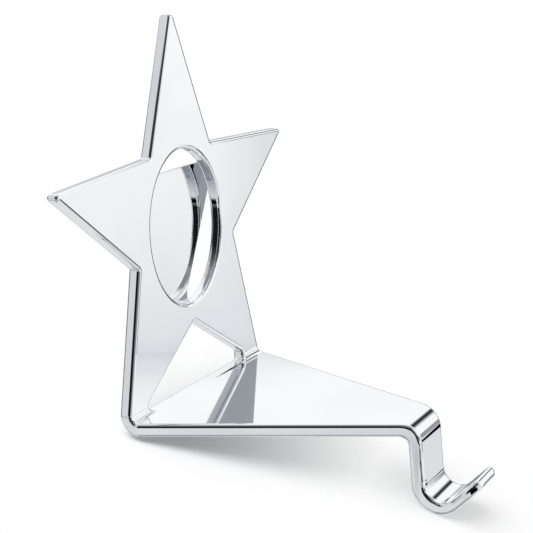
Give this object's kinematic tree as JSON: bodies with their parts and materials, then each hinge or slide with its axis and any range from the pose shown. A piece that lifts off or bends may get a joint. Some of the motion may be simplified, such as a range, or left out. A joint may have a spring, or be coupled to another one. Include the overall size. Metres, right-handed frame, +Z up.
{
  "type": "mantel stocking holder",
  "caption": "Chrome star with an oval photo window, standing on a tapering base bent from the same plate, with an upturned hook below the mantel edge and a sheet clip behind the window.",
  "frame": {"origin": "on the seat, the flat underside of the base, on the centre line and midway between the star's front face and the drop's front face", "axes": "+Z up from the mantel, -Y towards the hook, +X to the right as seen from the front"},
  "size_m": [0.1522, 0.1299, 0.18],
  "materials": {
    "holder_chrome": "polished chrome plate",
    "clip_chrome": "mirror-polished chrome sheet"
  },
  "bodies": {
    "root": {"holder_body": "holder_chrome", "photo_clip": "clip_chrome"}
  },
  "joints": []
}
